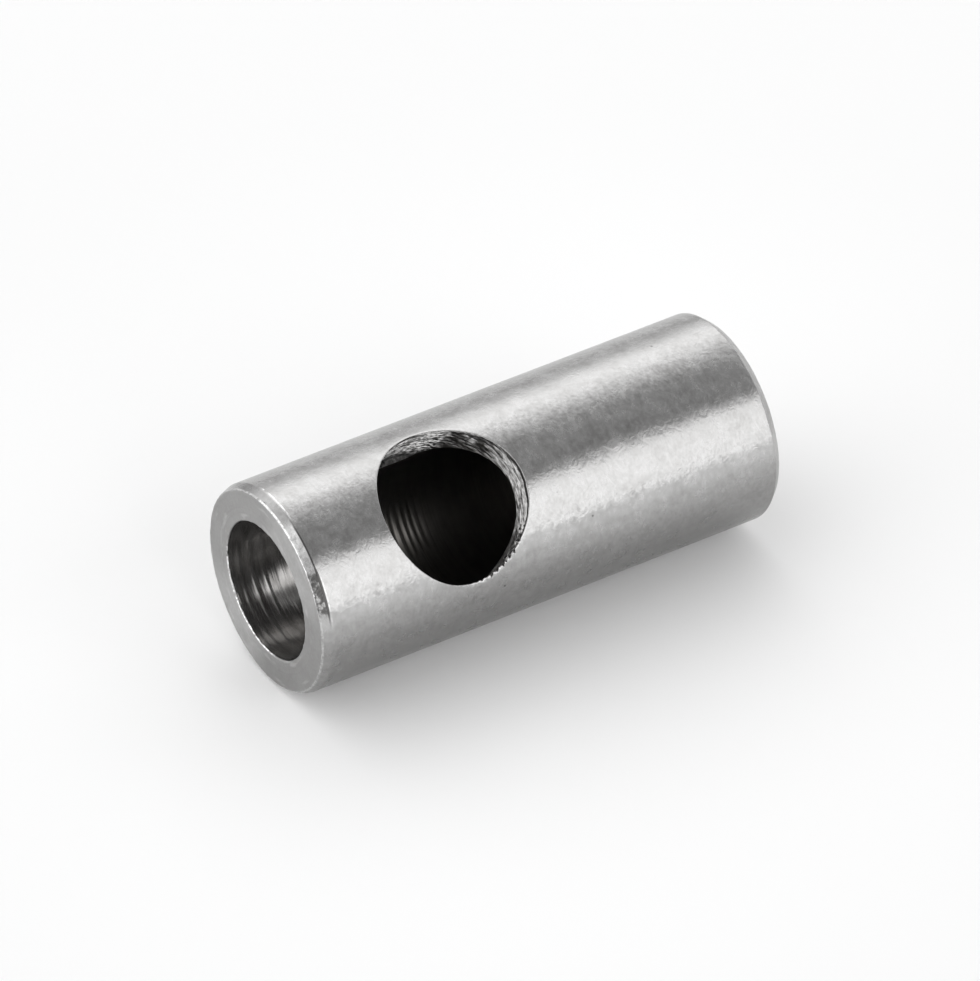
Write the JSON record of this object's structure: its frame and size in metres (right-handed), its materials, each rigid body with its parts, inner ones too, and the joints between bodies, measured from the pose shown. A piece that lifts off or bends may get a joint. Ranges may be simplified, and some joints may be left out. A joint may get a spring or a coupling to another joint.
{
  "type": "motor shaft adapter",
  "caption": "Short turned steel sleeve that makes a thin motor shaft fill a wider pinion bore, with a wide set screw hole through one wall.",
  "frame": {"origin": "centre of the far end face, where the sleeve's axis meets the surface it stands on", "axes": "+Z along the sleeve's axis from the far end to the near end, and -Y out through the side hole"},
  "size_m": [0.006, 0.006, 0.0147],
  "materials": {
    "turned_steel": "satin turned steel, lightly tumbled, with fine short scratches"
  },
  "bodies": {
    "root": {"adapter_sleeve": "turned_steel"}
  },
  "joints": []
}
